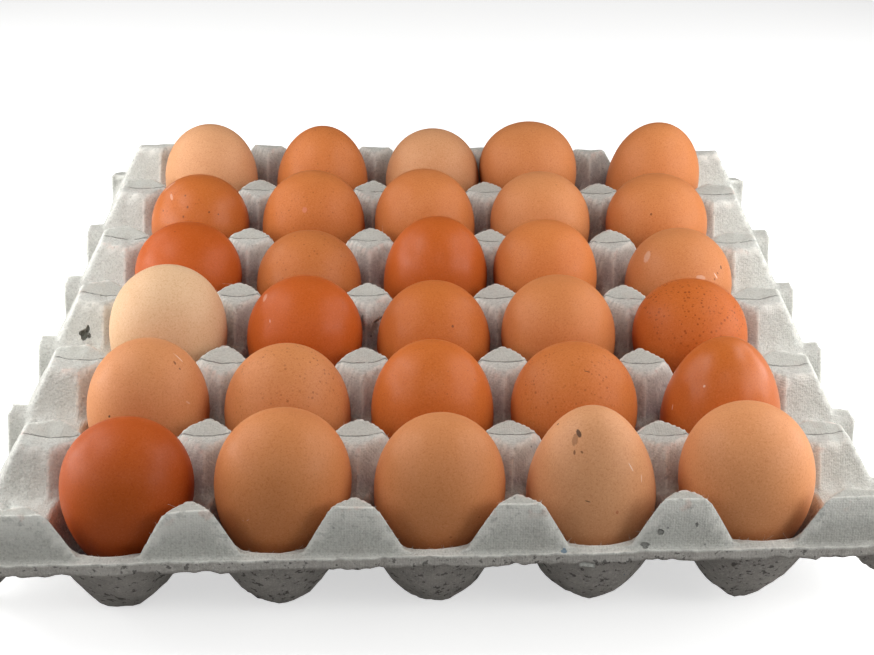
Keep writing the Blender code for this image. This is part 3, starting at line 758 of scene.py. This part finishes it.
def tray_mesh(sizes):
    """The tray's two surfaces from a grid, joined at the rim."""
    form = TrayForm(sizes)
    columns = spread(HALF_WIDTH, sizes.pitch, 0.5, sizes.lines, HALF_COLUMNS * sizes.pitch)
    rows = end_rows(form, spread(HALF_LENGTH, sizes.pitch, 0.0, sizes.lines, HALF_ROWS * sizes.pitch))
    made = grid_mesh(columns, rows)
    upper = list(made.verts)
    copied = bmesh.ops.duplicate(made, geom=made.verts[:] + made.edges[:] + made.faces[:])["geom"]
    lower = [item for item in copied if isinstance(item, bmesh.types.BMVert)]
    bmesh.ops.reverse_faces(made, faces=[item for item in copied if isinstance(item, bmesh.types.BMFace)])
    for verts, height, depth in ((upper, form.upper, sizes.ripple), (lower, form.lower, sizes.ripple * 1.5)):
        x = np.array([v.co.x for v in verts])
        y = np.array([v.co.y for v in verts])
        z = height(x, y) + form.lift(x, y)
        keep = 1.0
        if verts is lower:
            keep = np.clip(z / 0.004, 0, 1)
            lumps = ripple(x, y, 0.011, sizes.seed + 5) * np.clip((sizes.land - sizes.wall - z) / 0.006, 0, 1)
            z = z + keep * form.lumps * lumps
        z = z + keep * depth * (ripple(x, y, 0.022, sizes.seed) + 0.5 * ripple(x, y, 0.007, sizes.seed + 1))
        seed = sizes.seed + (2 if verts is upper else 3)
        edge = np.minimum(HALF_WIDTH - np.abs(x), HALF_LENGTH - np.abs(y))
        ragged = np.clip(1 - edge / 0.002, 0, 1) * form.ragged * np.maximum(1 + ripple(x, y, 0.0045, seed), 0)
        a = np.clip((np.abs(x) - HALF_WIDTH + form.corner) / form.corner, 0, 1)
        b = np.clip((np.abs(y) - HALF_LENGTH + form.corner) / form.corner, 0, 1)
        pull_x = a * (1 - np.sqrt(1 - b * b / 2)) * form.corner + ragged * (a > 0)
        pull_y = b * (1 - np.sqrt(1 - a * a / 2)) * form.corner + ragged * (b > 0)
        forward = form.folded_over(x, y, z - form.lift(x, y))
        for i, vert in enumerate(verts):
            vert.co = (x[i] - math.copysign(pull_x[i], x[i]),
                       y[i] - math.copysign(pull_y[i], y[i]) - forward[i], z[i])
    roughen_rim(made, lower)
    bmesh.ops.recalc_face_normals(made, faces=made.faces)
    mesh = finished(made, "pulp_tray")
    add_masks(mesh, form, len(upper))
    return mesh


def add_masks(mesh, form, count):
    """Attributes for the material. The first count vertices are the upper surface, the next count the
    underside, and the rest the rim between them."""
    co = np.empty(len(mesh.vertices) * 3)
    mesh.vertices.foreach_get("co", co)
    x, y, z = co.reshape(-1, 3).T
    s, step = form.sizes, 0.0008
    upper = np.arange(len(x)) < count
    # how far each place has the underside's darker grey: painted shade below, and on the rim's edge
    shaded_underside = np.where(upper, 0, np.where(np.arange(len(x)) < 2 * count, 1, RIM_PAINTED_SHADE))
    around = sum(form.upper(x + step * a, y + step * b) for a, b in ((1, 0), (-1, 0), (0, 1), (0, -1))) / 4
    convex = np.clip((form.upper(x, y) - around) / 0.00022, 0, 1)
    rim = np.minimum(HALF_WIDTH - np.abs(x), HALF_LENGTH - np.abs(y))
    edge_worn = np.clip(1.3 - rim / 0.0009, 0, 1)
    # convex places and the tray's edge: worn fuzz, and the places lightened as painted highlight
    worn_and_highlit = np.where(upper, np.maximum(convex, edge_worn), np.where(shaded_underside == 1, 0, RIM_WORN))
    rise = z - form.lift(x, y)
    top = np.clip((rise - (s.peak - 0.0042)) / 0.0012, 0, 1) * upper
    inner = np.clip((HALF_COLUMNS * s.pitch - np.abs(x)) / 0.005, 0, 1)
    inner = inner * np.clip((2.93 * s.pitch - np.abs(y)) / 0.001, 0, 1)
    inner = inner * np.clip((s.peak - 0.0025 - rise) / 0.012, 0, 1)
    for name, value in {"top": top, "inner": inner * upper, "shaded_underside": shaded_underside, "worn_and_highlit": worn_and_highlit}.items():
        made = mesh.attributes.new(name, "FLOAT", "POINT")
        made.data.foreach_set("value", value.astype(np.float32))


# --- the eggs ---

def widest_share(taper):
    """How much wider than a ball a tapered one is at its widest."""
    shares = np.linspace(-1, 1, 201)
    return float((np.sqrt(np.maximum(1 - shares**2, 0)) * (1 + taper * shares)).max())


def egg_mesh(name, width, length, taper, lean, place, seed):
    """An egg turned on its long axis, a little uneven, at its place."""
    made = bmesh.new()
    bmesh.ops.create_uvsphere(made, u_segments=56, v_segments=36, radius=1.0)
    widest = widest_share(taper)
    draw = random.Random(seed)
    oval, turn = draw.uniform(0.0, 0.012), draw.uniform(0, math.pi)
    for vert in made.verts:
        x, y, z = vert.co
        swell = (1 + taper * z) / widest * width / 2
        swell *= 1 + oval * (math.cos(2 * (math.atan2(y, x) - turn)) - 1)
        vert.co = (x * swell, y * swell, z * length / 2)
    bmesh.ops.rotate(made, verts=made.verts, cent=(0, 0, 0), matrix=Matrix.Rotation(lean, 3, "Y"))
    bmesh.ops.translate(made, verts=made.verts, vec=place)
    return finished(made, name)


def shell_colour(looks, shade, light):
    """A colour from the scale of shells, between two neighbours, made lighter or darker."""
    lower = min(int(shade), len(SHADES) - 2)
    first, second = (Vector(getattr(looks, SHADES[i])) for i in (lower, lower + 1))
    return first.lerp(second, shade - lower) * light


def on_shell(near, egg):
    """The point of the leaning, tapered shell in the direction of a point near it, from the egg's middle."""
    width, length, taper, lean = egg[4] / 2000, egg[5] / 2000, egg[6], egg[7]
    turn = Matrix.Rotation(lean, 3, "Y")
    inside = turn.transposed() @ near
    ball = Vector((inside.x / width, inside.y / width, inside.z / length)).normalized()
    swell = (1 + taper * ball.z) / widest_share(taper) * width
    return turn @ Vector((ball.x * swell, ball.y * swell, ball.z * length))


def shell_material(name, looks, egg, place, marks, seed):
    """An eggshell: its colour, darker and warmer towards the bottom as painted shade, with pores, bloom,
    speckles and its own marks.
    """
    shade, light, speckle, gloss, width, length = egg[:6]
    width, length = width / 1000, length / 1000
    made, tree, shader = new_material(name)
    cloud, times = partial(patches, tree), partial(calc, tree, "MULTIPLY")
    draw = random.Random(seed)
    base = shell_colour(looks, shade, light)
    deep_and_shaded, brown = shell_mix(base, SHELL_DEEP_AND_SHADED), shell_mix(base, SHELL_BROWN)
    pale = shell_mix(base, SHELL_PALE, SHELL_PALER)

    where = put(tree, "ShaderNodeTexCoord").outputs["Object"]
    height = put(tree, "ShaderNodeSeparateXYZ", Vector=where).outputs["Z"]
    # painted shade: the lower part of the shell darkened towards the deep colour
    low = band(tree, height, place.z + 0.25 * length, place.z - 0.35 * length)
    tone = blend(tree, times(low, 0.45), colour(base), deep_and_shaded)
    tone = blend(tree, times(cloud(42.0, 0.3, 0.75), 0.25), tone, deep_and_shaded)
    tone = blend(tree, times(cloud(75.0, 0.56, 0.8), 0.3), tone, pale)
    tone = blend(tree, times(cloud(1500.0, 0.50, 0.66), 0.35), tone, pale)
    tone = blend(tree, times(cloud(1700.0, 0.50, 0.34), 0.5), tone, deep_and_shaded)
    crown = band(tree, height, place.z + 0.10 * length, place.z + 0.40 * length, 0.2, 1.0)
    fine = dots(tree, 760.0, 0.19 + 0.16 * speckle, 0.08 + 0.9 * speckle)
    fine = times(times(fine, cloud(60.0, 0.36, 0.6)), crown)
    tone = blend(tree, times(fine, 0.2 + 0.7 * speckle), tone, brown)
    tone = blend(tree, times(dots(tree, 230.0, 0.09, 0.02 + 0.12 * speckle), 0.55), tone, brown)
    for kind, turn, rise, lean, mark_length, mark_width in marks:
        turn, rise, lean = math.radians(turn), math.radians(rise), math.radians(lean)
        out = Vector((math.sin(turn) * math.cos(rise), -math.cos(turn) * math.cos(rise), math.sin(rise)))
        spot = place + on_shell(Vector((out.x * width / 2, out.y * width / 2, out.z * length / 2)), egg)
        side = Vector((math.cos(turn), math.sin(turn), 0))
        along = (side.cross(out) * math.cos(lean) + side * math.sin(lean)).normalized()
        mask = use(tree, group("mark"), Place=spot, Along=along, Length=mark_length / 2000,
                   Width=mark_width / 2000).outputs[0]
        strength, ink = SHELL_INKS[kind]
        tone = blend(tree, times(mask, strength), tone, colour(ink))
    rough = looks.roughness - 0.16 * gloss
    rough = band(tree, cloud(110.0, 0.3, 0.7), 0.0, 1.0, rough - 0.03, rough + 0.07)
    pits = put(tree, "ShaderNodeTexNoise", Vector=where, Scale=1700.0, Detail=2.0).outputs[0]
    waves = put(tree, "ShaderNodeTexNoise", Vector=where, Scale=160.0, Detail=2.0).outputs[0]
    relief = calc(tree, "ADD", pits, times(waves, draw.uniform(0.6, 1.2)))
    bump = put(tree, "ShaderNodeBump", Strength=0.35, Distance=0.00006, Height=relief)
    tree.links.new(tone, shader.inputs["Base Color"])
    tree.links.new(rough, shader.inputs["Roughness"])
    tree.links.new(bump.outputs[0], shader.inputs["Normal"])
    shader.inputs["Specular IOR Level"].default_value = 0.10 + 0.15 * gloss
    return made


# --- operators ---

def add_object(name, mesh, material):
    mesh.materials.append(material)
    made = bpy.data.objects.new(name, mesh)
    bpy.context.scene.collection.objects.link(made)
    return made


class EGGTRAY_OT_tray(bpy.types.Operator):
    """Build the pulp tray"""
    bl_idname = "egg_tray.tray"
    bl_label = "Pulp tray"

    def execute(self, context):
        scene = context.scene
        material = pulp_material(scene.egg_tray_pulp, scene.egg_tray_sizes)
        tray = add_object("pulp_tray", tray_mesh(scene.egg_tray_sizes), material)
        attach(tray, "root")
        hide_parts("tray")
        return {"FINISHED"}


class EGGTRAY_OT_eggs(bpy.types.Operator):
    """Build the eggs in the tray's cups"""
    bl_idname = "egg_tray.eggs"
    bl_label = "Eggs"

    def execute(self, context):
        looks = context.scene.egg_tray_shells
        for row, line in enumerate(EGGS, 1):
            for column, egg in enumerate(line, 1):
                node = f"egg_r{row}_c{column}"
                low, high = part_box(node)
                place = (low + high) / 2
                seed = 10 * row + column
                width, length, taper, lean = egg[4:]
                mesh = egg_mesh(node + "_shell", width / 1000, length / 1000, taper, lean, place, seed)
                marks = MARKS.get((row, column), ())
                material = shell_material(f"shell_r{row}_c{column}", looks, egg, place, marks, seed)
                made = add_object(node + "_shell", mesh, material)
                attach(made, "root")
                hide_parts(node)
        return {"FINISHED"}


def fibre(made, place, direction, length, thickness):
    """One loose fibre: a slender three-sided cone, standing on its place."""
    turn = Vector((0, 0, 1)).rotation_difference(direction).to_matrix().to_4x4()
    matrix = Matrix.Translation(place + direction * length / 2) @ turn
    bmesh.ops.create_cone(made, cap_ends=True, segments=3, radius1=thickness / 2, radius2=thickness / 6,
                          depth=length, matrix=matrix)


class EGGTRAY_OT_fibres(bpy.types.Operator):
    """Scatter loose fibres along the tray's worn edges"""
    bl_idname = "egg_tray.fibres"
    bl_label = "Loose fibres"

    def execute(self, context):
        draw = random.Random(context.scene.egg_tray_sizes.seed)
        tray = bpy.data.objects["pulp_tray"].data
        worn_and_highlit = [item.value for item in tray.attributes["worn_and_highlit"].data]
        edges = [vert for vert in tray.vertices if worn_and_highlit[vert.index] > WORN_ENOUGH]
        near = [vert for vert in edges if vert.co.y < -FRONT_FROM * context.scene.egg_tray_sizes.pitch]
        low, high = map(Vector, CAD_BOX)
        made = bmesh.new()
        for _ in range(context.scene.egg_tray_pulp.fibres):
            vert = draw.choice(near if draw.random() < FRONT_SHARE else edges)
            stray = Vector([draw.uniform(-1, 1) for _ in range(3)])
            way = (vert.normal * draw.uniform(0.1, 0.9) + stray * 0.9).normalized()
            length = draw.uniform(*(SHORT_FIBRES if draw.random() < SHORT_SHARE else LONG_FIBRES))
            place = vert.co + Vector((draw.uniform(-1, 1), draw.uniform(-1, 1), 0)) * FIBRE_SCATTER
            tip = place + way * length
            if all(low[k] < end[k] < high[k] for k in range(3) for end in (place, tip)):
                fibre(made, place, way, length, draw.uniform(*FIBRE_THICKNESS))
        material, tree, shader = new_material("fibre")
        tone = blend(tree, patches(tree, 500.0, 0.4, 0.6), *map(colour, FIBRE_TONES))
        tree.links.new(tone, shader.inputs["Base Color"])
        shader.inputs["Roughness"].default_value = 0.9
        fibres = add_object("loose_fibres", finished(made, "loose_fibres", smooth=False), material)
        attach(fibres, "root")
        return {"FINISHED"}


class EGGTRAY_OT_flap(bpy.types.Operator):
    """Hang the small torn flap from the front rim"""
    bl_idname = "egg_tray.flap"
    bl_label = "Torn flap"

    def execute(self, context):
        sizes = context.scene.egg_tray_sizes
        form = TrayForm(sizes)
        x = FLAP_AT * sizes.pitch
        low = sizes.land + float(form.lift(np.array([x]), np.array([-HALF_LENGTH]))[0]) - sizes.wall - 0.0011
        made = bmesh.new()
        bmesh.ops.create_grid(made, x_segments=14, y_segments=8, size=0.5)
        for vert in made.verts:
            across, down = vert.co.x, 0.5 - vert.co.y
            ragged = 0.0003 * noise.noise(Vector((across * 9, down * 5, 3)))
            vert.co = (x + across * FLAP_WIDTH + ragged, -HALF_LENGTH + 0.0012 - 0.0004 * down + 0.4 * ragged,
                       low + 0.0006 - down * (FLAP_DROP + 0.0006 * across) + ragged)
        bmesh.ops.solidify(made, geom=made.faces[:], thickness=FLAP_THICKNESS)
        bmesh.ops.recalc_face_normals(made, faces=made.faces)
        flap = add_object("torn_flap", finished(made, "torn_flap"), bpy.data.materials["grey_pulp"])
        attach(flap, "root")
        return {"FINISHED"}


def area_light(name, place, aim, size, power):
    light = bpy.data.lights.new(name, "AREA")
    light.shape = "RECTANGLE"
    light.size, light.size_y = size
    light.energy = power
    made = bpy.data.objects.new(name, light)
    made.location = place
    made.rotation_euler = (Vector(aim) - Vector(place)).to_track_quat("-Z", "Y").to_euler()
    bpy.context.scene.collection.objects.link(made)


def add_floor(looks):
    """A plain floor at the part's foot, which throws back less light than it shows."""
    made = bmesh.new()
    bmesh.ops.create_grid(made, x_segments=2, y_segments=2, size=FLOOR_HALF)
    bmesh.ops.translate(made, verts=made.verts, vec=(0, 0, CAD_BOX[0][2]))
    material, tree, shader = new_material("floor")
    seen = put(tree, "ShaderNodeLightPath").outputs["Is Camera Ray"]
    dim = colour([channel * looks.bounce for channel in looks.floor])
    tree.links.new(blend(tree, seen, dim, colour(looks.floor)), shader.inputs["Base Color"])
    tree.links.new(blend(tree, seen, (0, 0, 0, 1), (1, 1, 1, 1)), shader.inputs["Emission Color"])
    shader.inputs["Emission Strength"].default_value = looks.glow
    shader.inputs["Roughness"].default_value = 0.9
    shader.inputs["Specular IOR Level"].default_value = 0.0
    add_object("floor", finished(made, "floor", smooth=False), material)


def add_lights(looks):
    """Soft panels on both sides and high in front, and a faint light from all round."""
    for name, side, power, front in (("left", -1, looks.left, looks.left_front),
                                     ("right", 1, looks.right, looks.right_front)):
        for part, turn, rise, away, size, share in SIDE_PANELS:
            turn, rise = math.radians(turn), math.radians(rise)
            way = (side * math.cos(rise) * math.cos(turn), math.cos(rise) * math.sin(turn), math.sin(rise))
            watts = (front if part == "front" else power) * share
            area_light(f"{name}_{part}", Vector(way) * away + Vector((0, 0, 0.03)), LIT_POINT, size, watts)
    area_light("above_front", (0, -0.62, 0.62), (0, -0.05, 0.04), (0.5, 0.3), looks.above)
    world = bpy.data.worlds.new("pale_room")
    world.use_nodes = True
    background = world.node_tree.nodes["Background"].inputs
    background[0].default_value = (1, 1, 1, 1)
    background[1].default_value = looks.sky
    bpy.context.scene.world = world


def add_camera(looks, sizes):
    camera = bpy.data.cameras.new("camera")
    camera.sensor_width = SENSOR_WIDTH
    camera.lens = looks.lens
    eye = bpy.data.objects.new("camera", camera)
    turn = (Matrix.Rotation(looks.yaw, 4, "Z") @ Matrix.Rotation(math.pi / 2 - looks.pitch, 4, "X")
            @ Matrix.Rotation(looks.roll, 4, "Z"))
    across, along, above = (step * sizes.pitch for step in CAMERA_PLACE)
    eye.matrix_world = Matrix.Translation(Vector((across, along, above + sizes.peak))) @ turn
    bpy.context.scene.collection.objects.link(eye)
    bpy.context.scene.camera = eye


class EGGTRAY_OT_stage(bpy.types.Operator):
    """Set the floor, the lights and the camera"""
    bl_idname = "egg_tray.stage"
    bl_label = "Stage"

    def execute(self, context):
        looks = context.scene.egg_tray_stage
        add_floor(looks)
        add_lights(looks)
        add_camera(looks, context.scene.egg_tray_sizes)
        context.scene.view_settings.view_transform = "Standard"
        return {"FINISHED"}


class EGGTRAY_PT_panel(bpy.types.Panel):
    """The egg tray's operators"""
    bl_idname = "EGGTRAY_PT_panel"
    bl_label = "Egg tray"
    bl_space_type = "VIEW_3D"
    bl_region_type = "UI"
    bl_category = "Egg tray"

    def draw(self, context):
        for operator in OPERATORS:
            self.layout.operator(operator.bl_idname)


OPERATORS = (EGGTRAY_OT_tray, EGGTRAY_OT_eggs, EGGTRAY_OT_fibres, EGGTRAY_OT_flap, EGGTRAY_OT_stage)
CLASSES = (*SETTINGS.values(), *OPERATORS, EGGTRAY_PT_panel)


def register():
    for made in CLASSES:
        bpy.utils.register_class(made)
    for name, made in SETTINGS.items():
        setattr(bpy.types.Scene, name, PointerProperty(type=made))


def unregister():
    for name in SETTINGS:
        delattr(bpy.types.Scene, name)
    for made in reversed(CLASSES):
        bpy.utils.unregister_class(made)


def main():
    register()
    bpy.ops.egg_tray.tray()
    bpy.ops.egg_tray.eggs()
    bpy.ops.egg_tray.fibres()
    bpy.ops.egg_tray.flap()
    bpy.ops.egg_tray.stage()


if __name__ == "__main__":
    main()
